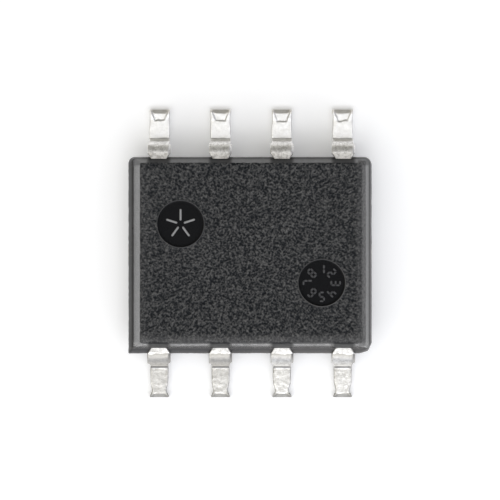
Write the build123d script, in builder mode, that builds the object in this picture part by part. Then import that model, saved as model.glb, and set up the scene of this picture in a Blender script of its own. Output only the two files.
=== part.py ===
# Eight-lead small-outline integrated circuit: the moulded body, the bent leads, and the paddle, die and wires inside.
#
# Millimetres. +Z is up, X runs along the body, and the leads leave it towards +Y and -Y. The origin is the centre
# of the lead pattern on the seating plane, so the feet rest on Z = 0. The leads are numbered counter-clockwise as
# seen from above, starting at the one with the lowest X and Y.
from build123d import *
from math import radians, tan
import os

# Moulded body
body_length = 4.87  # along X, at the level of the lead frame
body_width = 3.905  # along Y, at the level of the lead frame
body_height = 1.45  # underside to top face
stand_off = 0.15  # gap between the underside and the seating plane
lower_depth = 0.60  # underside up to the lead frame
end_draft = 13.0  # degrees, on the walls facing +X and -X
side_draft = 7.5  # degrees, on the walls facing +Y and -Y
wall_corner = 0.05  # radius of the upright corners

# Rim of resin as thick as the lead frame. The two mould halves sit a little off each other, so it is uneven.
rim_left = 0.105
rim_right = 0.060
rim_front = 0.118  # the side facing -Y
rim_back = 0.047
rim_corner = 0.13  # radius of the two back corners
gate_break = 0.16  # chamfer at the front right corner, where the runner was broken off

# Ejector-pin dimples and the raised marks in them
dimple_radius = 0.48
dimple_depth = 0.06
dimple_x = 1.45
dimple_y = 0.605
mark_height = 0.02
mark_stroke = 0.035
ray_count = 5
ray_inner = 0.10  # radius where each ray starts
ray_outer = 0.29
figure_count = 8
figure_ring = 0.29  # radius of the figures' centres
figure_height = 0.17
figure_width = 0.09

# Leads
leads_per_row = 4
lead_pitch = 1.27
lead_span = 5.98  # tip to tip
frame_thickness = 0.20  # the metal that the leads and the paddle are stamped from
root_width = 0.345
flare_length = 0.115  # from the body's wall to the full stub width
stub_width = 0.49  # what is left of the bar that joined the leads until they were cut apart
stub_length = 0.20
shank_width = 0.405
knee_reach = 0.38  # from the body's wall to the outer face of the leg, half way down
leg_lean = 3.0  # degrees from upright
bend_radius = 0.07  # inside of both bends

# Inner fingers of the leads
finger_tip = 1.05  # from the X axis to the inner end of each finger
pad_length = 0.40  # along Y
middle_pad_width = 0.55
corner_pad_width = 0.85  # from the outer edge of a corner lead towards the middle

# Paddle, die and wires
paddle_length = 2.40
paddle_width = 1.70
paddle_drop = 0.20  # how far the paddle lies below the leads
tie_bar_width = 0.30
tie_bend = 0.12  # radius of the tie bar's bends at mid thickness
die_length = 1.50
die_width = 1.10
die_thickness = 0.25
glue_thickness = 0.025
glue_margin = 0.06  # how far the glue runs out past the die
wire_diameter = 0.038
wire_bend = 0.06  # radius of the wire's bends at its centre
ball_diameter = 0.084
ball_height = 0.020
loop_height = 0.19  # top of the wire's centre line above the die
bond_inset = 0.10  # from the die's edge to the balls
bond_spacing = 0.42  # between the balls of one row

# Levels and distances that follow from the sizes above
frame_bottom = stand_off + lower_depth
frame_top = frame_bottom + frame_thickness
frame_middle = frame_bottom + frame_thickness / 2
body_top = stand_off + body_height
dimple_floor = body_top - dimple_depth
paddle_top = frame_top - paddle_drop
paddle_middle = frame_middle - paddle_drop
die_bottom = paddle_top + glue_thickness
die_top = die_bottom + die_thickness
wall_y = body_width / 2
stub_start = wall_y + flare_length
stub_end = stub_start + stub_length
pad_end = finger_tip + pad_length
pad_middle = finger_tip + pad_length / 2
tip = lead_span / 2

# The bars that make each raised figure, as on a plain date dial
figure_bars = {
    1: ["upper right", "lower right"],
    2: ["top", "upper right", "middle", "lower left", "bottom"],
    3: ["top", "upper right", "middle", "lower right", "bottom"],
    4: ["upper left", "upper right", "middle", "lower right"],
    5: ["top", "upper left", "middle", "lower right", "bottom"],
    6: ["top", "upper left", "middle", "lower left", "lower right", "bottom"],
    7: ["top", "upper right", "lower right"],
    8: ["top", "upper left", "upper right", "middle", "lower left", "lower right", "bottom"],
}
bar_places = {
    "top": Pos(0, figure_height / 2),
    "middle": Pos(0, 0),
    "bottom": Pos(0, -figure_height / 2),
    "upper left": Pos(-figure_width / 2, figure_height / 4) * Rot(0, 0, 90),
    "upper right": Pos(figure_width / 2, figure_height / 4) * Rot(0, 0, 90),
    "lower left": Pos(-figure_width / 2, -figure_height / 4) * Rot(0, 0, 90),
    "lower right": Pos(figure_width / 2, -figure_height / 4) * Rot(0, 0, 90),
}


def barrel_section(width, draft, rim_low, rim_high):
    # corners of the body's section, width across and Z up: two drafted halves with the rim between them
    lean = tan(radians(draft))
    edge = width / 2
    foot = edge - lower_depth * lean
    crown = edge - (body_top - frame_top) * lean
    return [
        (-foot, stand_off),
        (foot, stand_off),
        (edge, frame_bottom),
        (edge + rim_high, frame_bottom),
        (edge + rim_high, frame_top),
        (edge, frame_top),
        (crown, body_top),
        (-crown, body_top),
        (-edge, frame_top),
        (-edge - rim_low, frame_top),
        (-edge - rim_low, frame_bottom),
        (-edge, frame_bottom),
    ]


def make_lead(name, side, column):
    # side is +1 or -1, the way along Y that the lead leaves. column is its place in the row, seen from that side,
    # so both rows share one drawing. The bent strip is cut to the width that the metal has at each place.
    half_thickness = frame_thickness / 2
    lean = tan(radians(leg_lean)) * (frame_middle - half_thickness) / 2
    leg_middle = wall_y + knee_reach - half_thickness
    side_view = Plane(origin=(side * column, 0, 0), x_dir=(0, side, 0), z_dir=(side, 0, 0))
    plan_view = Plane(origin=(side * column, 0, 0), x_dir=(side, 0, 0), z_dir=(0, 0, 1))
    is_corner = abs(column) > lead_pitch
    pad_width = corner_pad_width if is_corner else middle_pad_width
    inward = (pad_width - root_width) / 2 if is_corner else 0
    pad_shift = -inward if column > 0 else inward

    with BuildPart() as lead:
        with BuildSketch(side_view):
            with BuildLine():
                FilletPolyline(
                    (finger_tip, frame_middle),
                    (leg_middle - lean, frame_middle),
                    (leg_middle + lean, half_thickness),
                    (tip, half_thickness),
                    radius=bend_radius + half_thickness,
                )
            trace(line_width=frame_thickness)
        extrude(amount=stub_width + pad_width, both=True)
        with BuildSketch(plan_view):
            with BuildLine():
                Polyline(
                    (-root_width / 2, pad_middle),
                    (-root_width / 2, wall_y),
                    (-stub_width / 2, stub_start),
                    (-stub_width / 2, stub_end),
                    (stub_width / 2, stub_end),
                    (stub_width / 2, stub_start),
                    (root_width / 2, wall_y),
                    (root_width / 2, pad_middle),
                    close=True,
                )
            make_face()
            with Locations((pad_shift, pad_middle)):
                Rectangle(pad_width, pad_length)
            with Locations((0, (stub_end + tip) / 2)):
                Rectangle(shank_width, tip - stub_end)
        extrude(amount=frame_top, mode=Mode.INTERSECT)
    lead.part.label = name
    return lead.part


def make_die_paddle():
    # the plate under the die and its two tie bars, which step up to the lead frame and end flush with the rim
    step = paddle_drop / 2
    rise_start = paddle_length / 2 + tie_bend
    rise_end = rise_start + 2 * step
    with BuildPart() as paddle:
        with BuildSketch(Plane.XY.offset(paddle_top)):
            RectangleRounded(paddle_length, paddle_width, tie_bend)
        extrude(amount=-frame_thickness)
        with BuildSketch(Plane.XZ):
            with BuildLine():
                FilletPolyline(
                    (-body_length / 2 - rim_left, frame_middle),
                    (-rise_end, frame_middle),
                    (-rise_start, paddle_middle),
                    (rise_start, paddle_middle),
                    (rise_end, frame_middle),
                    (body_length / 2 + rim_right, frame_middle),
                    radius=tie_bend,
                )
            trace(line_width=frame_thickness)
        extrude(amount=tie_bar_width / 2, both=True)
    paddle.part.label = "die_paddle"
    return paddle.part


def make_die_attach():
    with BuildPart() as glue:
        with BuildSketch(Plane.XY.offset(paddle_top)):
            RectangleRounded(die_length + 2 * glue_margin, die_width + 2 * glue_margin, glue_margin)
        extrude(amount=glue_thickness)
    glue.part.label = "die_attach"
    return glue.part


def make_silicon_die():
    with BuildPart() as die:
        with BuildSketch(Plane.XY.offset(die_bottom)):
            Rectangle(die_length, die_width)
        extrude(amount=die_thickness)
    die.part.label = "silicon_die"
    return die.part


def make_bond_wire(name, side, column, place):
    # from a ball on the die, up and over, down to the pad of its lead, where it ends level with the metal.
    # place counts the balls of a row from its middle.
    ball_place = Vector(side * place * bond_spacing, side * (die_width / 2 - bond_inset))
    pad_shift = (corner_pad_width - root_width) / 2 if abs(column) > lead_pitch else 0
    pad_x = column - pad_shift if column > 0 else column + pad_shift
    pad_place = Vector(side * pad_x, side * pad_middle)
    run = (pad_place - ball_place).normalized()
    reach = (pad_place - ball_place).length
    upright = Plane(origin=ball_place, x_dir=run, z_dir=run.cross(Vector(0, 0, 1)))
    wire_start = die_top + ball_height
    loop_top = die_top + loop_height
    turn = reach / 2
    slope = (loop_top - frame_top) / (reach - turn)
    past = wire_diameter  # the wire is drawn this far on, then cut level with the pad

    with BuildPart() as wire:
        with BuildLine(upright):
            FilletPolyline(
                (0, wire_start),
                (0, loop_top),
                (turn, loop_top),
                (reach + past, frame_top - past * slope),
                radius=wire_bend,
            )
        with BuildSketch(Plane(origin=(ball_place.X, ball_place.Y, wire_start))):
            Circle(wire_diameter / 2)
        sweep()
        split(bisect_by=Plane.XY.offset(frame_top), keep=Keep.TOP)
        with BuildSketch(Plane(origin=(ball_place.X, ball_place.Y, die_top))):
            Circle(ball_diameter / 2)
        extrude(amount=ball_height)
    wire.part.label = name
    return wire.part


def make_mould_body(inner_pieces):
    ends = barrel_section(body_length, end_draft, rim_left, rim_right)
    # seen along X, with +Y to the right, the front rim is on the left
    sides = barrel_section(body_width, side_draft, rim_front, rim_back)
    ray_length = ray_outer - ray_inner
    bar_length = {"top": figure_width, "middle": figure_width, "bottom": figure_width}
    with BuildPart() as mould:
        with BuildSketch(Plane.XZ):
            with BuildLine():
                Polyline(*ends, close=True)
            make_face()
        extrude(amount=body_width, both=True)
        with BuildSketch(Plane.YZ):
            with BuildLine():
                Polyline(*sides, close=True)
            make_face()
        extrude(amount=body_length, both=True, mode=Mode.INTERSECT)

        upright = mould.edges().filter_by(Axis.Z)
        back = upright.group_by(Axis.Y)[-1]
        front_right = upright.group_by(Axis.Y)[0].sort_by(Axis.X)[-1]
        slanted = mould.edges().filter_by(lambda edge: 0.5 < abs(edge.tangent_at(0.5).Z) < 0.9999)
        fillet(back, rim_corner)
        chamfer(front_right, gate_break)
        fillet(slanted, wall_corner)

        with BuildSketch(Plane.XY.offset(dimple_floor)):
            with Locations((-dimple_x, dimple_y), (dimple_x, -dimple_y)):
                Circle(dimple_radius)
        extrude(amount=dimple_depth, mode=Mode.SUBTRACT)

        with BuildSketch(Plane.XY.offset(dimple_floor)):
            for ray in range(ray_count):
                around = Rot(0, 0, 360 * ray / ray_count)
                with Locations(Pos(-dimple_x, dimple_y) * around * Pos(0, ray_inner + ray_length / 2)):
                    Rectangle(mark_stroke, ray_length)
        extrude(amount=mark_height)

        with BuildSketch(Plane.XY.offset(dimple_floor)):
            for figure, bars in figure_bars.items():
                around = Rot(0, 0, -360 * (figure - 1) / figure_count)
                figure_place = Pos(dimple_x, -dimple_y) * around * Pos(0, figure_ring)
                for bar in bars:
                    length = bar_length.get(bar, figure_height / 2) + mark_stroke
                    with Locations(figure_place * bar_places[bar]):
                        Rectangle(length, mark_stroke)
        extrude(amount=mark_height)

        for piece in inner_pieces:
            add(piece, mode=Mode.SUBTRACT)
    mould.part.label = "mould_body"
    return mould.part


def lead_places():
    # the number, side, column and count from the row's middle of each lead, counter-clockwise from above
    places = []
    for side in (-1, 1):
        for index in range(leads_per_row):
            place = (leads_per_row - 1) / 2 - index
            places.append((len(places) + 1, side, place * lead_pitch, place))
    return places


pieces = [make_die_paddle(), make_die_attach(), make_silicon_die()]
for number, side, column, place in lead_places():
    pieces.append(make_lead(f"lead_{number}", side, column))
    pieces.append(make_bond_wire(f"bond_wire_{number}", side, column, place))
pieces.append(make_mould_body(pieces))

os.makedirs("parts", exist_ok=True)
for piece in pieces:
    export_step(piece, f"parts/{piece.label}.step")
    print(piece.label, round(piece.volume, 5))
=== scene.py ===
import bpy
import math
import random
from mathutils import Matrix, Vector, noise
from mathutils.geometry import delaunay_2d_cdt


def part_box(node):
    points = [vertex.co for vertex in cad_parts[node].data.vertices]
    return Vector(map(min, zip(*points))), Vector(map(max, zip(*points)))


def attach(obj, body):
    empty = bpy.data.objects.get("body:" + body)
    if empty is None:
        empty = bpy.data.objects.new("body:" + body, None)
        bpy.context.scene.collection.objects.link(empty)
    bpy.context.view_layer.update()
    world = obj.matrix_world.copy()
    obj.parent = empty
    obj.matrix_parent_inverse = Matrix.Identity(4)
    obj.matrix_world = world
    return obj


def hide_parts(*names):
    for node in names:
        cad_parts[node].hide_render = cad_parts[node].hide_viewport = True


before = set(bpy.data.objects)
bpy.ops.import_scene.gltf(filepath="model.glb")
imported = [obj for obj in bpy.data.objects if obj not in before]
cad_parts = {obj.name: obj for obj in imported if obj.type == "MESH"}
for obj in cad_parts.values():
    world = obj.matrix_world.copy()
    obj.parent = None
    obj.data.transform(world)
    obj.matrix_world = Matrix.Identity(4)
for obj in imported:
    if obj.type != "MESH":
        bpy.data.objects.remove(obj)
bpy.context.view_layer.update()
mm = 0.001
print("frame loaded:", len(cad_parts), "nodes")

bodyLow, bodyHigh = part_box("mould_body")
leadLow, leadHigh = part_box("lead_1")
frameTop = leadHigh.z  # upper face of the leads where they leave the body


# shader helpers

class Reading:
    # a socket that can stand in a sum: arithmetic on it adds Math nodes
    def __init__(self, recipe, socket):
        self.recipe = recipe
        self.socket = socket

    def work(self, operation, first, second):
        return self.recipe.node("Math", {"operation": operation}, {0: first, 1: second})

    def __add__(self, other):
        return self.work("ADD", self, other)

    def __radd__(self, other):
        return self.work("ADD", other, self)

    def __sub__(self, other):
        return self.work("SUBTRACT", self, other)

    def __rsub__(self, other):
        return self.work("SUBTRACT", other, self)

    def __mul__(self, other):
        return self.work("MULTIPLY", self, other)

    def __rmul__(self, other):
        return self.work("MULTIPLY", other, self)

    def __truediv__(self, other):
        return self.work("DIVIDE", self, other)

    def __gt__(self, other):
        return self.work("GREATER_THAN", self, other)


class Recipe:
    # one material's or the world's node tree
    def __init__(self, owner):
        owner.use_nodes = True
        self.tree = owner.node_tree
        self.tree.nodes.clear()

    def size(self, value):
        return self.node("Math", {"operation": "ABSOLUTE"}, {0: value})

    def node(self, kind, settings=None, sockets=None, output=0):
        made = self.tree.nodes.new("ShaderNode" + kind)
        for name, value in (settings or {}).items():
            setattr(made, name, value)
        for name, value in (sockets or {}).items():
            if isinstance(value, Reading):
                self.tree.links.new(value.socket, made.inputs[name])
            else:
                made.inputs[name].default_value = value
        if not made.outputs:
            return None
        return Reading(self, made.outputs[output])

    def ramp(self, value, low, high):
        # 0 below low, 1 above high, eased between them
        return self.node("MapRange", {"interpolation_type": "SMOOTHSTEP"}, {0: value, 1: low, 2: high})

    def blend(self, mask, low, high):
        # one colour into another; sockets 6 and 7 are the Mix node's colours
        return self.node("Mix", {"data_type": "RGBA"}, {0: mask, 6: low, 7: high}, 2)

    def place(self):
        return self.node("TexCoord", output=3)

    def axis(self, index):
        return self.node("SeparateXYZ", {}, {0: self.place()}, index)

    def speckle(self, grainSize, detail=2.0, roughness=0.5, stretch=(1, 1, 1)):
        # noise whose grains are about grainSize millimetres across, turned askew so that no rows show
        askew = {"Vector": self.place(), "Rotation": (0.6, 0.9, 0.4), "Scale": stretch}
        spot = self.node("Mapping", {}, askew)
        wanted = {"Vector": spot, "Scale": 1 / (grainSize * mm), "Detail": detail, "Roughness": roughness}
        return self.node("TexNoise", {}, wanted)

    def bump(self, height, strength, distance):
        return self.node("Bump", {}, {"Height": height, "Strength": strength, "Distance": distance * mm})

    def finish(self, **sockets):
        wanted = {name.replace("_", " "): value for name, value in sockets.items()}
        surface = self.node("BsdfPrincipled", {}, wanted)
        self.node("OutputMaterial", {}, {"Surface": surface})


def newMaterial(name):
    material = bpy.data.materials.new(name)
    return material, Recipe(material)


def ease(value):
    value = min(1.0, max(0.0, value))
    return value * value * (3 - 2 * value)


def addPiece(name, points, faces, materials):
    mesh = bpy.data.meshes.new(name)
    mesh.from_pydata(points, [], faces)
    mesh.validate()
    for material in materials:
        mesh.materials.append(material)
    piece = bpy.data.objects.new(name, mesh)
    bpy.context.scene.collection.objects.link(piece)
    return piece


# resin of the body

resin = {
    "colour": (0.0110, 0.0112, 0.0120, 1),
    # silica grains show pale at the rough surface; the pits between them are painted dark as shade
    "pitShadeColour": (0.0006, 0.0022, 0.0044, 1), "fillerColour": (0.136, 0.134, 0.131, 1),
    "grainRoughness": 0.45,
    "wallRoughness": 0.17,
    "polishRoughness": 0.06,
    "rimRoughness": 0.34,
    # the pale dust colour also paints light on the top face's edges and sheen on the front wall
    "scuffColour": (0.42, 0.39, 0.35, 1), "sheenAndDustColour": (0.24, 0.235, 0.23, 1), "frontSheenAmount": 0.42,
    "rayColour": (0.30, 0.30, 0.30, 1), "figureColour": (0.060, 0.060, 0.063, 1),
    # the rim's pale colour serves both scuffs and the painted highlight along the front ledge
    "rimColour": (0.030, 0.030, 0.031, 1), "rimScuffAndHighlightColour": (0.17, 0.16, 0.15, 1),
}


def makeGrainedResin():
    material, recipe = newMaterial("grained_resin")
    fine = recipe.speckle(0.042, 2.0, 0.5) + 0.55 * (recipe.speckle(0.085, 2.0, 0.5) - 0.5)
    broad = recipe.speckle(0.30, 2.0)
    # the low places of the grain are painted near black as shade in the pits
    filler = recipe.ramp(fine, 0.30, 0.95)
    colour = recipe.blend(filler, resin["pitShadeColour"], resin["fillerColour"])
    # the rounded edges are painted paler as light falling on them, the front one most
    tintMask = 0.20 * recipe.ramp(-1 * recipe.axis(1), 1.60 * mm, 1.80 * mm)
    tintMask = tintMask + 0.12 * recipe.ramp(recipe.axis(0), 2.12 * mm, 2.21 * mm)
    tintMask = tintMask + 0.05 * recipe.ramp(-1 * recipe.axis(0), 2.06 * mm, 2.17 * mm)
    colour = recipe.blend(tintMask, colour, resin["sheenAndDustColour"])
    roughness = resin["grainRoughness"] + 0.18 * (broad - 0.5)
    recipe.finish(Base_Color=colour, Roughness=roughness, IOR=1.55, Specular_IOR_Level=0.15,
                  Normal=recipe.bump(fine, 1.0, 0.03))
    return material


def makeWallResin():
    material, recipe = newMaterial("drawn_resin")
    streak = recipe.speckle(0.10, 3.0, 0.6, (1, 1, 0.2))
    fine = recipe.speckle(0.028, 3.0, 0.6)
    wear = recipe.speckle(0.30, 2.0)
    x = recipe.axis(0)
    y = recipe.axis(1)
    # the resin is dull right behind each lead: distance along the row from the nearest lead
    pitch = body["leadPitch"] * mm
    fromLead = recipe.node("Math", {"operation": "PINGPONG"}, {0: x + 1.5 * pitch, 1: pitch / 2})
    behindLead = 1 - recipe.ramp(fromLead, 0.17 * mm, 0.27 * mm)
    sides = 1 - recipe.ramp(recipe.size(x), 2.20 * mm, 2.26 * mm)
    # the front wall between the leads is painted paler as sheen; pale scuffs where the trimming tools touched
    # it and the right wall
    front = recipe.ramp(-1 * y, 1.80 * mm, 1.86 * mm) * (1 - behindLead * sides)
    right = recipe.ramp(x, 2.25 * mm, 2.29 * mm) * recipe.ramp(-1 * y, -1.2 * mm, 1.6 * mm)
    # the upper half of the right wall is rubbed matt
    ragged = 0.10 * mm * (wear - 0.5) + 0.10 * mm * (fine - 0.5)
    matt = recipe.ramp(recipe.axis(2) + ragged, 1.18 * mm, 1.32 * mm)
    matt = matt * recipe.ramp(x, 2.19 * mm, 2.21 * mm)
    grainy = recipe.ramp(recipe.speckle(0.055, 2.0, 0.5), 0.36, 0.64)
    # painted sheen over the front wall, and wear on the matt right wall
    sheenAndWear = front * (resin["frontSheenAmount"] + 0.5 * (wear - 0.5)) + matt * (0.06 + 0.36 * grainy)
    specks = (front + 0.8 * right) * recipe.ramp(fine, 0.60, 0.72) * recipe.ramp(wear, 0.40, 0.60)
    colour = recipe.blend(sheenAndWear, resin["colour"], resin["sheenAndDustColour"])
    colour = recipe.blend(specks * 0.8, colour, resin["scuffColour"])
    rear = recipe.ramp(y, 1.78 * mm, 1.84 * mm)
    roughness = resin["wallRoughness"] + 0.14 * (streak - 0.5) + 0.3 * specks
    roughness = roughness + 0.45 * behindLead * sides + 0.22 * rear + 0.40 * matt
    recipe.finish(Base_Color=colour, Roughness=roughness, IOR=1.42,
                  Normal=recipe.bump(fine, 0.25, 0.003))
    return material


def makePolishedResin():
    material, recipe = newMaterial("polished_resin")
    fine = recipe.speckle(0.03, 2.0)
    roughness = resin["polishRoughness"] + 0.05 * fine
    recipe.finish(Base_Color=resin["colour"], Roughness=roughness, IOR=1.50,
                  Normal=recipe.bump(fine, 0.05, 0.002))
    return material


def makeRimResin():
    material, recipe = newMaterial("rim_resin")
    fine = recipe.speckle(0.03, 3.0, 0.6)
    wear = recipe.speckle(0.25, 2.0)
    # paler towards the front and right
    paleFrontRight = recipe.ramp(recipe.axis(0) - 0.8 * recipe.axis(1), 1.2 * mm, 2.4 * mm)
    forward = -1 * recipe.axis(1)
    # a painted highlight in a band along the front ledge, darker in its middle, and again at its outer edge
    middle = recipe.ramp(forward, 1.965 * mm, 1.995 * mm)
    tintMask = recipe.ramp(forward, 1.92 * mm, 1.95 * mm) * (1 - 0.7 * middle)
    tintMask = tintMask + recipe.ramp(forward, 2.03 * mm, 2.06 * mm)
    scuffsAndHighlight = recipe.ramp(fine, 0.58, 0.74) * recipe.ramp(wear, 0.45, 0.65)
    scuffsAndHighlight = scuffsAndHighlight + 0.20 * paleFrontRight + 0.20 * tintMask
    colour = recipe.blend(scuffsAndHighlight, resin["rimColour"], resin["rimScuffAndHighlightColour"])
    roughness = resin["rimRoughness"] + 0.3 * (wear - 0.5)
    recipe.finish(Base_Color=colour, Roughness=roughness, IOR=1.55,
                  Normal=recipe.bump(fine, 0.4, 0.005))
    return material


def makeMarkResin():
    material, recipe = newMaterial("mark_resin")
    fine = recipe.speckle(0.02, 2.0)
    # the rays are pale grey, the figures darker
    tintMask = recipe.axis(0) > 0
    colour = recipe.blend(tintMask, resin["rayColour"], resin["figureColour"])
    recipe.finish(Base_Color=colour, Roughness=0.5, IOR=1.5, Normal=recipe.bump(fine, 0.5, 0.004))
    return material


# moulded body

body = {  # millimetres
    "leadPitch": 1.27,
    "rimLeft": 0.105, "rimRight": 0.060, "rimFront": 0.118, "rimBack": 0.047,
    "rimSink": 0.006,  # the resin between the leads shrinks a little below the metal
    "endDraft": 13.0, "sideDraft": 7.5,  # degrees
    # how far in and how far down the top face rounds over at its front, right, back and left edges
    "crownReach": (0.17, 0.11, 0.035, 0.05), "crownDrop": (0.085, 0.055, 0.018, 0.026),
    "wallCorner": 0.05, "rimCorner": 0.14,
    # the front right corner is broken off where the runner was cut: its facets, from the square corner
    "gateBreak": ((-0.27, 0.0), (-0.26, 0.002), (-0.21, 0.010), (-0.14, 0.034), (-0.078, 0.056),
                  (-0.055, 0.09), (-0.035, 0.14), (-0.006, 0.205), (0.0, 0.23)),
    # how far the ledge round the parting line droops towards its outer edge
    "ledgeDroop": 0.12, "backDroop": 0.07,
    "dimpleX": 1.45, "dimpleY": 0.605, "dimpleRadius": 0.475, "dimpleDepth": 0.06,
    "markHeight": 0.022, "markHalfWidth": 0.0145,
    "rayCount": 5, "rayInner": 0.09, "rayOuter": 0.29,
    "figureRing": 0.285, "figureHeight": 0.18, "figureWidth": 0.09, "figureGap": 0.022,
    "edgeShake": 0.018, "drawnFront": 0.040, "drawnRight": 0.012,
    "grainStep": 0.0205, "grainHeight": 0.013, "grainSize": 0.034,
    "sideSteps": 130, "endSteps": 110, "cornerSteps": 8,
}

# the bars lit in each figure: top, upper left, upper right, middle, lower left, lower right, bottom
figureBars = {1: "0010010", 2: "1011101", 3: "1011011", 4: "0111010",
              5: "1101011", 6: "1101111", 7: "1010010", 8: "1111111"}


def outline(low, high, corners):
    # a closed loop round a box with its own radius at each corner, counter-clockwise from the front left
    places = [(low[0], low[1]), (high[0], low[1]), (high[0], high[1]), (low[0], high[1])]
    inward = [(1, 1), (-1, 1), (-1, -1), (1, -1)]
    arcs = []
    for index, ((x, y), (ix, iy), radius) in enumerate(zip(places, inward, corners)):
        if isinstance(radius, tuple):  # a corner broken off in straight facets
            arcs.append([(x + dx, y + dy) for dx, dy in radius])
            continue
        centre = (x + ix * radius, y + iy * radius)
        start = math.pi + index * math.pi / 2
        arc = []
        for step in range(body["cornerSteps"] + 1):
            turn = start + step / body["cornerSteps"] * math.pi / 2
            arc.append((centre[0] + radius * math.cos(turn), centre[1] + radius * math.sin(turn)))
        arcs.append(arc)
    loop = []
    for index, arc in enumerate(arcs):
        loop += arc
        after = arcs[(index + 1) % 4][0]
        steps = body["sideSteps"] if index % 2 == 0 else body["endSteps"]
        for step in range(1, steps):
            share = step / steps
            x, y = (a + (b - a) * share for a, b in zip(arc[-1], after))
            loop.append((x, y))
    return loop


def capsule(start, end, radius, steps=4):
    # outline of a bar with round ends
    along = (end - start).normalized()
    across = Vector((-along.y, along.x))
    loop = []
    for centre, first in ((end, -1), (start, 1)):
        for step in range(steps + 1):
            turn = math.pi * step / steps
            loop.append(centre + radius * first * (across * math.cos(turn) - along * math.sin(turn)))
    return loop


def markStrokes():
    # centre lines of the raised marks: plain rays in one dimple, a ring of figures in the other
    strokes = []
    rayCentre = Vector((-body["dimpleX"], body["dimpleY"]))
    for ray in range(body["rayCount"]):
        turn = 2 * math.pi * ray / body["rayCount"]
        along = Vector((-math.sin(turn), math.cos(turn)))
        strokes.append((rayCentre + body["rayInner"] * along, rayCentre + body["rayOuter"] * along))
    ringCentre = Vector((body["dimpleX"], -body["dimpleY"]))
    halfWide, halfHigh, gap = body["figureWidth"] / 2, body["figureHeight"] / 2, body["figureGap"]
    bars = [
        ((-halfWide + gap, halfHigh), (halfWide - gap, halfHigh)),
        ((-halfWide, gap), (-halfWide, halfHigh - gap)),
        ((halfWide, gap), (halfWide, halfHigh - gap)),
        ((-halfWide + gap, 0), (halfWide - gap, 0)),
        ((-halfWide, gap - halfHigh), (-halfWide, -gap)),
        ((halfWide, gap - halfHigh), (halfWide, -gap)),
        ((-halfWide + gap, -halfHigh), (halfWide - gap, -halfHigh)),
    ]
    for figure, lit in figureBars.items():
        turn = -2 * math.pi * (figure - 1) / len(figureBars)
        for bar, shown in zip(bars, lit):
            if shown == "1":
                ends = []
                for x, y in bar:
                    y += body["figureRing"]
                    ends.append(ringCentre + Vector((x * math.cos(turn) - y * math.sin(turn),
                                                     x * math.sin(turn) + y * math.cos(turn))))
                strokes.append(tuple(ends))
    return strokes


def grainAt(x, y):
    # spark-eroded grain: rounded pits and bumps at two sizes
    spot = Vector((0.8 * x + 0.6 * y, 0.8 * y - 0.6 * x, 0.5 * x + 0.35 * y)) / body["grainSize"]
    return 0.75 * noise.noise(spot) + 0.45 * noise.noise(spot * 2.1 + Vector((7, 3, 5)))


def crownFall(x, y, low, high):
    # how far the rounded edge has fallen at a place on the top face
    total = 0.0
    toEdges = (y - low[1], high[0] - x, high[1] - y, x - low[0])
    for toEdge, reach, drop in zip(toEdges, body["crownReach"], body["crownDrop"]):
        share = 1 - max(0.0, toEdge) / reach
        if share > 0:
            total += (drop * (1 - math.sqrt(1 - 0.92 * share ** 2)) / (1 - math.sqrt(0.08))) ** 2
    return math.sqrt(total)


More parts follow.
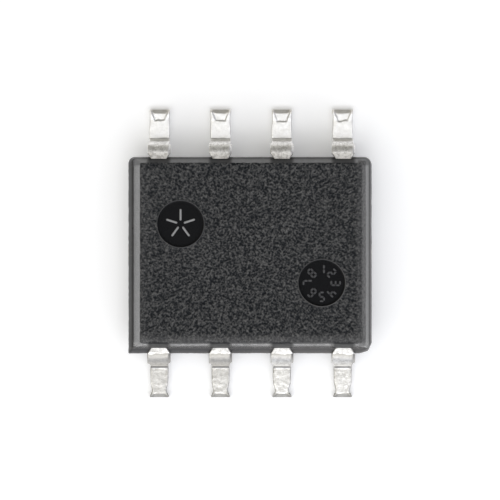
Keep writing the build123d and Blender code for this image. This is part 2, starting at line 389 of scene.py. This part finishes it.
def crownPoints(edgeLoop, topZ):
    # the top face with its dimples as one triangulated sheet: points, triangles, each triangle's finish
    random.seed(4)
    flat, edges, heights = [], [], []

    def addLoop(loop, height):
        first = len(flat)
        for point in loop:
            flat.append(Vector((point[0], point[1])))
            heights.append(height)
        for index in range(len(loop)):
            edges.append((first + index, first + (index + 1) % len(loop)))

    addLoop(edgeLoop, 0.0)
    centres = [(-body["dimpleX"], body["dimpleY"]), (body["dimpleX"], -body["dimpleY"])]
    radius, depth = body["dimpleRadius"], body["dimpleDepth"]
    # the smooth raised lip and the drop to the floor of each dimple: distance outside the dimple, height
    steps = [(0.034, -0.003), (0.022, 0.002), (0.012, 0.008), (0.003, 0.004), (-0.003, -0.006),
             (-0.008, 0.012 - depth), (-0.016, -depth), (-0.06, -depth)]
    around = 120
    for centre in centres:
        for outward, height in steps:
            loop = []
            for index in range(around):
                turn = 2 * math.pi * index / around
                away = radius + outward
                loop.append((centre[0] + away * math.cos(turn), centre[1] + away * math.sin(turn)))
            addLoop(loop, height)
    for start, end in markStrokes():
        addLoop(capsule(start, end, body["markHalfWidth"] + 0.008), -depth)
        addLoop(capsule(start, end, body["markHalfWidth"] - 0.004), body["markHeight"] - depth)

    lowX, highX = min(p[0] for p in edgeLoop), max(p[0] for p in edgeLoop)
    lowY, highY = min(p[1] for p in edgeLoop), max(p[1] for p in edgeLoop)
    step = body["grainStep"]
    keepOff = step * 0.55
    rowCount = int((highY - lowY) / (step * 0.866))
    columnCount = int((highX - lowX) / step)
    for row in range(1, rowCount):
        for column in range(1, columnCount):
            x = lowX + (column + 0.5 * (row % 2) + random.uniform(-0.22, 0.22)) * step
            y = lowY + (row + random.uniform(-0.22, 0.22)) * step * 0.866
            if min(x - lowX, highX - x, y - lowY, highY - y) < keepOff:
                continue
            if any(math.hypot(x - cx, y - cy) < radius + steps[0][0] + keepOff for cx, cy in centres):
                continue
            flat.append(Vector((x, y)))
            heights.append(0.0)
    found, foundEdges, triangles, came, _, _ = delaunay_2d_cdt(flat, edges, [], 1, 1e-7)
    points = []
    for point, sources in zip(found, came):
        height = heights[sources[0]] if sources else -depth
        nearest = min(math.hypot(point.x - cx, point.y - cy) for cx, cy in centres) - radius
        toEdge = min(point.x - lowX, highX - point.x, point.y - lowY, highY - point.y)
        if nearest > -0.001:
            fade = min(1.0, max(0.0, (nearest - 0.022) / 0.02)) * min(1.0, max(0.0, toEdge / 0.03))
            height += body["grainHeight"] * fade * grainAt(point.x, point.y)
            height -= crownFall(point.x, point.y, (lowX, lowY), (highX, highY))
        points.append((point.x, point.y, topZ + height))
    kinds = []
    for triangle in triangles:
        x = sum(found[corner].x for corner in triangle) / 3
        y = sum(found[corner].y for corner in triangle) / 3
        away = min(math.hypot(x - cx, y - cy) for cx, cy in centres) - radius
        marked = away < -0.06 and any(points[corner][2] > topZ - depth + 0.003 for corner in triangle)
        ragged = 0.02 * noise.noise(Vector((x, y, 2)) / 0.04)  # where the drawn wall gives way to the grain
        drawn = y - lowY < body["drawnFront"] + ragged or highX - x < body["drawnRight"] + 0.6 * ragged
        kinds.append(4 if marked else 2 if away < 0.002 else 3 if away < 0.020 else 1 if drawn else 0)
    return points, triangles, kinds, len(edgeLoop), came


def makeBody():
    topZ = bodyHigh.z / mm - body["grainHeight"]  # so that the tallest grains stay under the body's top
    rimTop = frameTop / mm - body["rimSink"]
    rimBottom = frameTop / mm - 0.20
    bottomZ = bodyLow.z / mm
    outerLow = (bodyLow.x / mm, bodyLow.y / mm)
    outerHigh = (bodyHigh.x / mm, bodyHigh.y / mm)
    upper = topZ - rimTop
    wallLow = (outerLow[0] + body["rimLeft"], outerLow[1] + body["rimFront"])
    wallHigh = (outerHigh[0] - body["rimRight"], outerHigh[1] - body["rimBack"])

    def ledgeLoop(inner, outer, share):
        # between the wall's foot and the rim's outer edge; the ledge rounds down as it goes out
        ring = []
        for (x, y, z), (outerX, outerY, _) in zip(inner, outer):
            back = ease((y - 1.80) / 0.12) * ease((2.30 - abs(x)) / 0.1)
            droop = body["ledgeDroop"] + (body["backDroop"] - body["ledgeDroop"]) * back
            level = rimTop - droop * share ** 1.5
            ring.append((x + (outerX - x) * share, y + (outerY - y) * share, level))
        return ring

    def wallLoop(height, level, extra=0.0, corner=None):
        # the drafted wall at a height above or below the lead frame
        insetX = height * math.tan(math.radians(body["endDraft"])) + extra
        insetY = height * math.tan(math.radians(body["sideDraft"])) + extra
        corner = body["wallCorner"] if corner is None else corner
        low = (wallLow[0] + insetX, wallLow[1] + insetY)
        high = (wallHigh[0] - insetX, wallHigh[1] - insetY)
        share = min(1.0, max(0.0, (height / upper - 0.3) / 0.7))
        loop = outline(low, high, [corner] * 4)
        ring = []
        for x, y in loop:
            shake = body["edgeShake"] * share * noise.noise(Vector((x, y, 1.0)) / 0.045)
            away = Vector((-x, -y)).normalized() * abs(shake)
            ring.append((x + away.x, y + away.y, level - share * crownFall(x, y, low, high)))
        return ring

    def rimLoop(level, inset, roughEdge):
        corners = [0.02, body["gateBreak"], 0.17, body["rimCorner"]]
        low = (outerLow[0] + inset, outerLow[1] + inset)
        high = (outerHigh[0] - inset, outerHigh[1] - inset)
        loop = outline(low, high, corners)
        ring = []
        for x, y in loop:
            broad = noise.noise(Vector((x * 3, y * 3, level)))
            fine = noise.noise(Vector((x * 14, y * 14, 3)))
            shake = roughEdge * (0.5 + 0.5 * broad + 0.5 * fine)
            away = Vector((-x, -y)).normalized() * max(0.0, shake)
            ring.append((x + away.x, y + away.y, level))
        return ring

    foot = wallLoop(0.0, rimTop, -0.004)
    rim = rimLoop(rimTop, 0.004, 0.008)
    edge = wallLoop(upper, topZ, 0.004)
    points, triangles, kinds, edgeCount, came = crownPoints([(x, y) for x, y, _ in edge], topZ)
    # where each point of the edge loop went in the sheet
    edgeIndex = {}
    for index, sources in enumerate(came):
        for source in sources:
            if source < edgeCount:
                edgeIndex[source] = index
    faces = [tuple(t) for t in triangles]
    ring = [edgeIndex[i] for i in range(edgeCount)]

    # rings from the top edge down to the underside, each with the finish of the strip above it
    strips = [
        (wallLoop(upper - 0.012, topZ - 0.012), 1),
        (wallLoop(upper - 0.05, topZ - 0.05), 1),
        (wallLoop(upper * 0.66, rimTop + upper * 0.66), 1),
        (wallLoop(upper * 0.33, rimTop + upper * 0.33), 1),
        (wallLoop(0.02, rimTop + 0.02), 1),
        (foot, 1),
        (ledgeLoop(foot, rim, 0.12), 3),
        (ledgeLoop(foot, rim, 0.35), 3),
        (ledgeLoop(foot, rim, 0.65), 3),
        (ledgeLoop(foot, rim, 0.88), 3),
        (ledgeLoop(foot, rim, 1.0), 3),
        (rimLoop(rimTop - 0.15, 0.0, 0.008), 3),
        (rimLoop(rimBottom + 0.02, 0.001, 0.008), 3),
        (rimLoop(rimBottom, 0.012, 0.008), 3),
        (wallLoop(0.0, rimBottom, -0.01, 0.06), 3),
        (wallLoop(0.02, rimBottom - 0.02), 3),
        (wallLoop(rimBottom - bottomZ - 0.03, bottomZ + 0.03), 1),
        (wallLoop(rimBottom - bottomZ - 0.01, bottomZ + 0.008), 1),
        (wallLoop(rimBottom - bottomZ, bottomZ, 0.02), 0),
    ]
    for loop, kind in strips:
        first = len(points)
        points += loop
        count = len(loop)
        for index in range(count):
            after = (index + 1) % count
            faces.append((ring[index], first + index, first + after, ring[after]))
            kinds.append(kind)
        ring = list(range(first, first + count))
    faces.append(tuple(reversed(ring)))
    kinds.append(0)
    points = [(x * mm, y * mm, z * mm) for x, y, z in points]
    makers = (makeGrainedResin, makeWallResin, makePolishedResin, makeRimResin, makeMarkResin)
    materials = [make() for make in makers]
    piece = addPiece("mould_body_skin", points, faces, materials)
    for polygon, kind in zip(piece.data.polygons, kinds):
        polygon.material_index = kind
        polygon.use_smooth = True
    piece.data.set_sharp_from_angle(angle=math.radians(38))
    return piece


bodySkin = makeBody()
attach(bodySkin, "root")
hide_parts("mould_body")
print("body made:", len(bodySkin.data.polygons), "faces")


# tinned leads

lead = {  # millimetres, measured outward from the body's wall
    "thickness": 0.20, "hidden": 0.12,  # how far the visible piece runs on inside the body
    "rootWidth": 0.325, "flareLength": 0.125, "stubWidth": 0.48, "stubEnd": 0.327, "stubStep": 0.041,
    "waistFromTip": 0.165,
    # width beyond the stub, at the waist and at the tip: the front row's ends are drawn narrower
    "frontWidths": (0.375, 0.300, 0.390), "backWidths": (0.43, 0.405, 0.43),
    "kneeReach": 0.38, "legLean": 3.0, "bendRadius": 0.07,
    "edgeRadius": 0.018, "wobble": 0.0032,
    # the right edge of the stub is rolled over where the bar was cut
    "rolledWidth": 0.055, "rolledDrop": 0.026,
    # the shallow print of the forming tool near the tip
    "pocketStart": 0.265, "pocketDepth": 0.002, "backPocketDepth": 0.013,
    "tipBevel": 0.085, "tipDrop": 0.045,
    "acrossSteps": 26, "alongStep": 0.016,
}


def turnedBy(vector, angle):
    return Vector((vector.x * math.cos(angle) - vector.y * math.sin(angle),
                   vector.x * math.sin(angle) + vector.y * math.cos(angle)))


def leadPath(wallY, tipY):
    # stations along the lead's middle: outward place, height, and the unit vector along it
    half = lead["thickness"] / 2
    top = frameTop / mm - half
    lean = math.tan(math.radians(lead["legLean"])) * (top - half) / 2
    legY = wallY + lead["kneeReach"] - half
    corners = [Vector((wallY - lead["hidden"], top)), Vector((legY - lean, top)),
               Vector((legY + lean, half)), Vector((tipY, half))]
    radius = lead["bendRadius"] + half
    stations = [(corners[0], (corners[1] - corners[0]).normalized())]

    def straightTo(end):
        start, along = stations[-1]
        length = (end - start).length
        steps = max(2, int(length / lead["alongStep"]))
        way = (end - start).normalized()
        for step in range(1, steps + 1):
            stations.append((start + way * length * step / steps, way))

    for before, corner, after in zip(corners, corners[1:], corners[2:]):
        incoming, outgoing = (corner - before).normalized(), (after - corner).normalized()
        turn = incoming.angle_signed(outgoing)
        setback = radius * math.tan(abs(turn) / 2)
        straightTo(corner - incoming * setback)
        side = Vector((incoming.y, -incoming.x)) if turn > 0 else Vector((-incoming.y, incoming.x))
        centre = corner - incoming * setback + side * radius
        start = corner - incoming * setback - centre
        steps = 18
        for step in range(1, steps + 1):
            angle = -turn * step / steps
            stations.append((centre + turnedBy(start, angle), turnedBy(incoming, angle)))
    straightTo(corners[3])
    return stations


def widthAt(reach, kinks):
    # the lead's width at a distance outward from the wall, straight between its kinks
    for (start, startWidth), (end, endWidth) in zip(kinks, kinks[1:]):
        if reach <= end:
            share = max(0.0, (reach - start) / max(end - start, 1e-9))
            return startWidth + (endWidth - startWidth) * share
    return kinks[-1][1]


def makeLead(name, material, seed):
    low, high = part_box(name)
    side = 1 if high.y > -low.y else -1
    footVertices = [v.co.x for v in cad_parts[name].data.vertices if v.co.z < 0.1 * mm]
    column = (min(footVertices) + max(footVertices)) / 2 / mm
    tipY = max(high.y, -low.y) / mm
    wallY = (bodyHigh.y / mm - body["rimBack"])
    random.seed(seed)
    jitter = {key: random.uniform(-1, 1) for key in ("width", "stub", "skew", "tip", "pocket", "waist")}
    jitter["press"] = lead["backPocketDepth"] if side > 0 else lead["pocketDepth"]
    stubWidth = lead["stubWidth"] + 0.008 * jitter["stub"]
    tipReach = tipY - wallY
    shankWidth, waistWidth, tipWidth = lead["backWidths"] if side > 0 else lead["frontWidths"]
    waistWidth += 0.014 * jitter["waist"]
    tipWidth += 0.008 * jitter["tip"]
    stepWidth = min(stubWidth - 0.03, max(shankWidth, stubWidth - 2 * lead["stubStep"]))
    kinks = [
        (-1.0, lead["rootWidth"]), (0.0, lead["rootWidth"]), (lead["flareLength"], stubWidth),
        (lead["stubEnd"], stubWidth), (lead["stubEnd"] + 0.003, stepWidth),
        (lead["kneeReach"] - 0.004, shankWidth), (0.60, shankWidth - 0.004),
        (tipReach - 0.29, shankWidth - 0.012),
        (tipReach - lead["waistFromTip"], waistWidth), (tipReach - lead["waistFromTip"] + 0.04, waistWidth),
        (tipReach - 0.03, tipWidth), (tipReach, tipWidth),
    ]
    stations = leadPath(wallY, tipY)
    half, across = lead["thickness"] / 2, lead["acrossSteps"]
    # two extra stations give the cut ends of the stub their sharp step
    refined = []
    for before, after in zip(stations, stations[1:]):
        refined.append(before)
        first, last = (spot.x - way.y * half for spot, way in (before, after))
        for cut in (lead["stubEnd"] - 0.001, lead["stubEnd"] + 0.004):
            target = wallY + cut
            if first < target <= last and before[0].y > 0.5:
                share = (target - first) / (last - first)
                between = before[1].lerp(after[1], share).normalized()
                refined.append((before[0].lerp(after[0], share), between))
    refined.append(stations[-1])
    edge = lead["edgeRadius"]
    points, faces = [], []
    knee = wallY + lead["kneeReach"]

    def section(halfWidth):
        # one cross-section: (place across, place through the thickness), round at its four edges
        loop = []
        for index in range(across + 1):
            loop.append((-halfWidth + edge + (2 * halfWidth - 2 * edge) * index / across, half))
        for step in (1, 2):
            turn = math.pi / 2 * (1 - step / 3)
            loop.append((halfWidth - edge + edge * math.cos(turn), half - edge + edge * math.sin(turn)))
        for index in range(5):
            loop.append((halfWidth, half - edge - (2 * half - 2 * edge) * index / 4))
        for step in (1, 2):
            turn = -math.pi / 2 * step / 3
            loop.append((halfWidth - edge + edge * math.cos(turn), -half + edge + edge * math.sin(turn)))
        lower = 8
        for index in range(lower + 1):
            loop.append((halfWidth - edge - (2 * halfWidth - 2 * edge) * index / lower, -half))
        for step in (1, 2):
            turn = math.pi * 1.5 - math.pi / 2 * step / 3
            loop.append((-halfWidth + edge + edge * math.cos(turn), -half + edge + edge * math.sin(turn)))
        for index in range(5):
            loop.append((-halfWidth, -half + edge + (2 * half - 2 * edge) * index / 4))
        for step in (1, 2):
            turn = math.pi - math.pi / 2 * step / 3
            loop.append((-halfWidth + edge + edge * math.cos(turn), half - edge + edge * math.sin(turn)))
        return loop

    for centre, way in refined:
        normal = Vector((-way.y, way.x))
        reach = centre.x + normal.x * half - wallY  # of the outer face
        onStub = reach < lead["stubEnd"] + 0.002 and centre.y > 0.5
        halfWidth = widthAt(reach, kinks) / 2
        loop = section(halfWidth)
        count = len(loop)
        fromTip = tipY - centre.x
        for u, v in loop:
            drop = 0.0
            if v > 0 and centre.y < half + 0.02:  # upper face of the foot
                drop = footPrint(fromTip, u, halfWidth, jitter)
            elif v > 0 and reach > 0.1 and onStub:
                fromEdge = side * u - halfWidth + lead["rolledWidth"]
                drop = lead["rolledDrop"] * ease(fromEdge / lead["rolledWidth"])
            wobble = lead["wobble"] * noise.noise(Vector((u * 14 + seed * 5, centre.x * 14, centre.y * 14)))
            spot = centre + normal * (v - drop * (1 if v > 0 else 0) + wobble * (1 if v > 0 else 0))
            skew = 0.006 * jitter["skew"] * max(0.0, reach)
            points.append((side * (u + skew), side * spot.x, spot.y))
    rings = len(refined)
    for ring in range(rings - 1):
        for index in range(count):
            after = (index + 1) % count
            near, far = ring * count, (ring + 1) * count
            faces.append((near + index, far + index, far + after, near + after))
    faces.append(tuple(reversed(range(count))))
    faces.append(tuple(range((rings - 1) * count, rings * count)))
    points = [((x + column) * mm, y * mm, max(z, 0.0) * mm) for x, y, z in points]
    piece = addPiece("tinned_" + name, points, faces, [material])
    for polygon in piece.data.polygons:
        polygon.use_smooth = True
    piece.data.set_sharp_from_angle(angle=math.radians(30))
    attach(piece, "root")
    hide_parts(name)
    return piece


def footPrint(fromTip, across, halfWidth, jitter):
    # how far the foot's upper face is pressed down: a shallow pocket that widens to the tip,
    # worn shoulders either side of it, and the sheared end
    start = lead["pocketStart"] + 0.014 * jitter["pocket"]
    start += 0.03 * noise.noise(Vector((across * 9, jitter["tip"] * 9, 1)))
    share = min(1.0, max(0.0, (start - fromTip) / (start - lead["tipBevel"])))
    pocketHalf = 0.10 + (halfWidth - 0.045 - 0.10) * share ** 1.6
    inside = ease((pocketHalf - abs(across)) / 0.035 + 0.5)
    down = jitter["press"] * inside * ease((start - fromTip) / 0.035)
    shoulder = max(0.0, abs(across) - pocketHalf - 0.01)
    down += 0.10 * shoulder * ease((start + 0.12 - fromTip) / 0.2)
    bevel = lead["tipBevel"] * (1 - 0.65 * ease((abs(across) - 0.09) / (halfWidth - 0.10)))
    if fromTip < bevel:
        slide = 1 - fromTip / bevel
        down = down * (1 - slide) + max(down, lead["tipDrop"]) * slide
    return down


tin = {
    "backFootLitColour": (0.88, 0.875, 0.86, 1),  # pressed flat in the forming tool; the back row's feet, painted lighter as lit
    # the front row's feet are painted darker as shade, the two on the right less
    "frontFootShadeColour": (0.58, 0.57, 0.545, 1), "rightFrontFootShadeColour": (0.69, 0.68, 0.655, 1),
    # the roots: lit in the front row, painted darker as shade from the wall in the back row
    "rootColour": (0.84, 0.83, 0.81, 1),
    "backRootShadeColour": (0.68, 0.665, 0.635, 1),
    "creaseShadeColour": (0.36, 0.35, 0.325, 1),  # painted shade over the front row's bend, and in the shaded hollows and flanks
    # the bends: painted shade in the front row, painted highlight in the back row
    "frontBendShadeColour": (0.53, 0.515, 0.485, 1), "rightFrontBendShadeColour": (0.74, 0.73, 0.705, 1),
    "backBendHighlightColour": (0.93, 0.92, 0.90, 1),
    "frontCutShadeColour": (0.40, 0.39, 0.365, 1),  # sheared tips, painted darker as shade in the front row
    "backCutLitColour": (0.80, 0.78, 0.74, 1),
    "stainAndShadeColour": (0.34, 0.325, 0.30, 1),
    "roughness": 0.30,
}


def makeTinnedMetal():
    material, recipe = newMaterial("tinned_metal")
    fine = recipe.speckle(0.028, 3.0, 0.65)
    broad = recipe.speckle(0.14, 2.0)
    spots = recipe.speckle(0.060, 2.0, 0.6)
    drawn = recipe.speckle(0.05, 2.0, 0.5, (1, 0.15, 1))
    wallY = bodyHigh.y - body["rimBack"] * mm
    y = recipe.axis(1)
    outward = recipe.size(y) + 0.07 * mm * (broad - 0.5)
    reach = outward - wallY
    raised = recipe.ramp(recipe.axis(2), 0.22 * mm, 0.26 * mm)
    past = recipe.ramp(reach, 0.110 * mm, 0.130 * mm)
    bent = raised * past
    root = raised * (1 - past)
    tipY = max(leadHigh.y, -leadLow.y)
    cut = recipe.ramp(outward, tipY - 0.088 * mm, tipY - 0.078 * mm)
    # painted shade in the inside of the lower bend
    hollowShade = (1 - raised) * recipe.ramp(reach, 0.39 * mm, 0.41 * mm)
    hollowShade = hollowShade * (1 - recipe.ramp(reach, 0.45 * mm, 0.53 * mm))
    # from the middle of the nearest lead, across it: the flanks are painted darker as shade, the right one
    # most
    pitch = body["leadPitch"] * mm
    fromFirst = recipe.axis(0) + 1.5 * pitch
    across = recipe.node("Math", {"operation": "WRAP"}, {0: fromFirst, 1: pitch / 2, 2: -pitch / 2})
    across = across + 0.03 * mm * (broad - 0.5)
    flank = recipe.ramp(recipe.size(across), 0.10 * mm, 0.19 * mm)
    back = y > 0
    rightHalf = recipe.axis(0) > 0  # the two front leads on the right are painted lighter
    # the feet: painted darker as shade in the front row, lighter as lit in the back row
    flat = recipe.blend(rightHalf, tin["frontFootShadeColour"], tin["rightFrontFootShadeColour"])
    flat = recipe.blend(back, flat, tin["backFootLitColour"])
    flat = recipe.blend(root, flat, recipe.blend(back, tin["rootColour"], tin["backRootShadeColour"]))
    crease = recipe.ramp(reach, 0.13 * mm, 0.27 * mm)
    bend = recipe.blend(rightHalf, tin["frontBendShadeColour"], tin["rightFrontBendShadeColour"])
    bend = recipe.blend(back, recipe.blend(crease, tin["creaseShadeColour"], bend), tin["backBendHighlightColour"])
    colour = recipe.blend(bent, flat, bend)
    colour = recipe.blend(cut, colour, recipe.blend(back, tin["frontCutShadeColour"], tin["backCutLitColour"]))
    rightFlank = bent * recipe.ramp(across, 0.14 * mm, 0.20 * mm)
    shaded = (0.45 * hollowShade + 0.30 * flank * (1 - raised) + 0.45 * rightFlank) * (1 - back)
    colour = recipe.blend(shaded, colour, tin["creaseShadeColour"])
    # dull spots of tarnish; more at the back roots and along the bends as painted shade, fewer on the back
    # row's feet as painted light
    spotted = recipe.ramp(spots + 0.6 * (fine - 0.5) + 0.3 * (broad - 0.5), 0.44, 0.62)
    stainAndShadeAmount = 0.34 + 0.06 * bent + 0.30 * root * back - 0.24 * back * (1 - raised)
    colour = recipe.blend(spotted * stainAndShadeAmount, colour, tin["stainAndShadeColour"])
    roughness = tin["roughness"] + 0.14 * (fine - 0.3) + 0.08 * (drawn - 0.5) + 0.10 * bent + 0.12 * cut
    recipe.finish(Base_Color=colour, Metallic=1.0, Roughness=roughness,
                  Normal=recipe.bump(fine + 0.5 * drawn, 0.5, 0.005))
    return material


tinnedMetal = makeTinnedMetal()
leadNames = sorted(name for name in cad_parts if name.startswith("lead_"))
for index, name in enumerate(leadNames):
    made = makeLead(name, tinnedMetal, 20 + index)
print("leads made:", len(leadNames), "of", len(made.data.polygons), "faces")


# what is sealed inside

paddle = {  # millimetres
    "plateLength": 2.40, "plateWidth": 1.70, "barWidth": 0.30, "thickness": 0.20, "drop": 0.20,
    "riseStart": 1.27, "riseEnd": 1.47, "crimpLength": 0.11, "crimp": 0.125,
}


def makePaddle(material):
    # the plate under the die and its two tie bars; the cut ends of the bars are pinched thinner
    low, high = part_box("die_paddle")
    top = frameTop / mm - 0.012
    under = frameTop / mm - paddle["thickness"] + 0.004
    sunk = frameTop / mm - paddle["drop"]
    ends = (high.x / mm, -low.x / mm)
    sections = []  # place along, half width, upper and lower face
    for side, end in zip((1, -1), ends):
        half = [
            (paddle["plateLength"] / 2 - 0.03, paddle["plateWidth"] / 2, sunk, sunk - paddle["thickness"]),
            (paddle["plateLength"] / 2, paddle["plateWidth"] / 2 - 0.03, sunk, sunk - paddle["thickness"]),
            (paddle["plateLength"] / 2, paddle["barWidth"] / 2, sunk, sunk - paddle["thickness"]),
            (paddle["riseStart"], paddle["barWidth"] / 2, sunk, sunk - paddle["thickness"]),
            (paddle["riseEnd"], paddle["barWidth"] / 2, top, under),
            (end - paddle["crimpLength"] - 0.03, paddle["barWidth"] / 2, top, under),
            (end - paddle["crimpLength"] * 0.5, paddle["barWidth"] / 2, top - paddle["crimp"] * 0.55, under),
            (end, paddle["barWidth"] / 2 - 0.004, top - paddle["crimp"], under),
        ]
        placed = [(side * along, *rest) for along, *rest in half]
        sections = list(reversed(placed)) + sections if side < 0 else placed
    points, faces = [], []
    for along, halfWidth, upperZ, lowerZ in sections:
        middle = (upperZ + lowerZ) / 2
        across = (-halfWidth, 0, halfWidth)
        loop = [(y, lowerZ) for y in across] + [(halfWidth, middle)]
        loop += [(y, upperZ) for y in reversed(across)] + [(-halfWidth, middle)]
        points += [(along * mm, y * mm, z * mm) for y, z in loop]
    count = 8
    for ring in range(len(sections) - 1):
        for index in range(count):
            after = (index + 1) % count
            near, far = ring * count, (ring + 1) * count
            faces.append((near + index, near + after, far + after, far + index))
    faces.append(tuple(reversed(range(count))))
    faces.append(tuple(range((len(sections) - 1) * count, len(sections) * count)))
    piece = addPiece("paddle_plate", points, faces, [material])
    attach(piece, "root")
    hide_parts("die_paddle")
    return piece


def dressNode(name, material):
    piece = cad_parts[name]
    piece.data.materials.clear()
    piece.data.materials.append(material)


def makeInnerMaterial(name, low, high, metallic, roughness, grainSize):
    material, recipe = newMaterial(name)
    grain = recipe.speckle(grainSize, 3.0, 0.6)
    recipe.finish(Base_Color=recipe.blend(grain, low, high), Metallic=metallic,
                  Roughness=roughness + 0.12 * (grain - 0.5), Normal=recipe.bump(grain, 0.2, 0.004))
    return material


inner = {  # the two colours of the grain, metallic, roughness, grain size in millimetres
    "paddle_metal": ((0.62, 0.60, 0.56, 1), (0.78, 0.76, 0.72, 1), 1.0, 0.35, 0.05),
    "silver_glue": ((0.48, 0.48, 0.46, 1), (0.66, 0.66, 0.64, 1), 0.6, 0.5, 0.02),
    "polished_silicon": ((0.10, 0.11, 0.14, 1), (0.20, 0.20, 0.26, 1), 0.7, 0.15, 0.08),
    "gold": ((0.86, 0.62, 0.22, 1), (0.95, 0.74, 0.34, 1), 1.0, 0.22, 0.02),
}
innerMetal = {name: makeInnerMaterial(name, *values) for name, values in inner.items()}
makePaddle(innerMetal["paddle_metal"])
dressNode("die_attach", innerMetal["silver_glue"])
dressNode("silicon_die", innerMetal["polished_silicon"])
for name in sorted(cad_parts):
    if name.startswith("bond_wire_"):
        dressNode(name, innerMetal["gold"])
print("inner pieces dressed")


# floor, light and camera

stage = {
    "floorSize": 600,  # millimetres across
    "floorColour": (0.93, 0.93, 0.93, 1),
    "floorGlow": 0.22,  # seen by the camera and in reflections alone, so the open floor is a clean white
    "worldLevel": 0.355, "frontGain": 0.23, "topLevel": 1.06, "topLean": 12, "topReach": 32,
    "horizonGain": 0.32, "backHorizonGain": 0.10,
    # daylight comes from the right, lamplight from the back
    "warmTint": (1.03, 1.0, 0.90, 1), "coolTint": (0.97, 1.0, 1.10, 1),
    "boxLevel": 1.10,  # brightness of the soft box beside a white of 1
    "boxWidth": 110, "boxDepth": 52, "boxDistance": 80,
    "boxHeight": 60, "boxTurn": 4,  # degrees above the floor towards -Y, and degrees round towards -X
    "lensDark": 5.0,  # degrees round straight up that the camera and its hood fill
}


def makeFloor():
    half = stage["floorSize"] / 2 * mm
    steps = 6
    points, faces = [], []
    for row in range(steps + 1):
        for column in range(steps + 1):
            points.append((half * (2 * column / steps - 1), half * (2 * row / steps - 1), 0.0))
    for row in range(steps):
        for column in range(steps):
            first = row * (steps + 1) + column
            faces.append((first, first + 1, first + steps + 2, first + steps + 1))
    material, recipe = newMaterial("white_sheet")
    paper = recipe.speckle(0.5, 2.0)
    colour = recipe.blend(paper, stage["floorColour"], (0.94, 0.94, 0.94, 1))
    seen = recipe.node("Math", {"operation": "MAXIMUM"}, {
        0: recipe.node("LightPath", output=0), 1: recipe.node("LightPath", output=3)})
    glow = recipe.blend(seen, (0, 0, 0, 1), (1, 1, 1, 1))
    recipe.finish(Base_Color=colour, Roughness=0.9, Emission_Color=glow, Emission_Strength=stage["floorGlow"])
    floor = addPiece("floor_sheet", points, faces, [material])


def makeWorld():
    world = bpy.data.worlds.new("light_tent")
    bpy.context.scene.world = world
    recipe = Recipe(world)
    # straight up the tent has its opening for the lens
    way = recipe.node("TexCoord", output=0)
    height = recipe.node("SeparateXYZ", {}, {0: way}, 2)
    outer, inner = (math.cos(math.radians(stage["lensDark"] + extra)) for extra in (3, 0))
    opening = recipe.ramp(height, outer, inner)
    # the tent is brightest round the lens, a little towards the front
    lean = math.radians(stage["topLean"])
    middle = (0, -math.sin(lean), math.cos(lean))
    near = recipe.node("VectorMath", {"operation": "DOT_PRODUCT"}, {0: way, 1: middle}, 1)
    reach = math.radians(stage["topReach"])
    glow = recipe.ramp(near, math.cos(reach * 1.3), math.cos(reach * 0.7))
    front = recipe.node("SeparateXYZ", {}, {0: way}, 1)
    seen = recipe.node("LightPath", output=0)
    horizon = 1 - recipe.ramp(height, 0.05, 0.65)
    low = horizon * (stage["horizonGain"] + stage["backHorizonGain"] * front)
    tent = stage["worldLevel"] - stage["frontGain"] * front + glow * stage["topLevel"] + low
    level = (1 - opening) * tent
    strength = level * (1 - seen) + seen * 1.0
    side = recipe.node("SeparateXYZ", {}, {0: way}, 0)
    turned = recipe.node("Clamp", {}, {0: 0.5 + 0.6 * side - 0.5 * front})
    tint = recipe.blend(turned * (1 - seen) + 0.5 * seen, stage["warmTint"], stage["coolTint"])
    background = recipe.node("Background", {}, {"Color": tint, "Strength": strength})
    recipe.node("OutputWorld", {}, {"Surface": background})


def makeSoftBox():
    lamp = bpy.data.lights.new("soft_box", "AREA")
    lamp.shape = "RECTANGLE"
    lamp.size = stage["boxWidth"] * mm
    lamp.size_y = stage["boxDepth"] * mm
    area = lamp.size * lamp.size_y
    lamp.energy = stage["boxLevel"] * 4 * area
    holder = bpy.data.objects.new("soft_box", lamp)
    height = math.radians(stage["boxHeight"])
    turned = math.radians(stage["boxTurn"])
    level = math.cos(height)
    towards = Vector((-math.sin(turned) * level, -math.cos(turned) * level, math.sin(height)))
    holder.location = towards * stage["boxDistance"] * mm
    holder.rotation_mode = "QUATERNION"
    holder.rotation_quaternion = (-towards).to_track_quat("-Z", "Y")
    holder.visible_camera = False
    bpy.context.scene.collection.objects.link(holder)


def makeCamera():
    lens, sensor, widthSeen = 400, 36, 10.36  # millimetres; widthSeen is at half the leads' height
    camera = bpy.data.cameras.new("camera")
    camera.lens = lens
    camera.sensor_width = sensor
    camera.clip_start = 1 * mm
    camera.clip_end = 2
    holder = bpy.data.objects.new("camera", camera)
    holder.location = (-0.024 * mm, 0.070 * mm, (0.5 + widthSeen * lens / sensor) * mm)
    bpy.context.scene.collection.objects.link(holder)
    bpy.context.scene.camera = holder


makeFloor()
makeWorld()
makeSoftBox()
makeCamera()
bpy.context.scene.view_settings.view_transform = "Standard"
print("stage set")
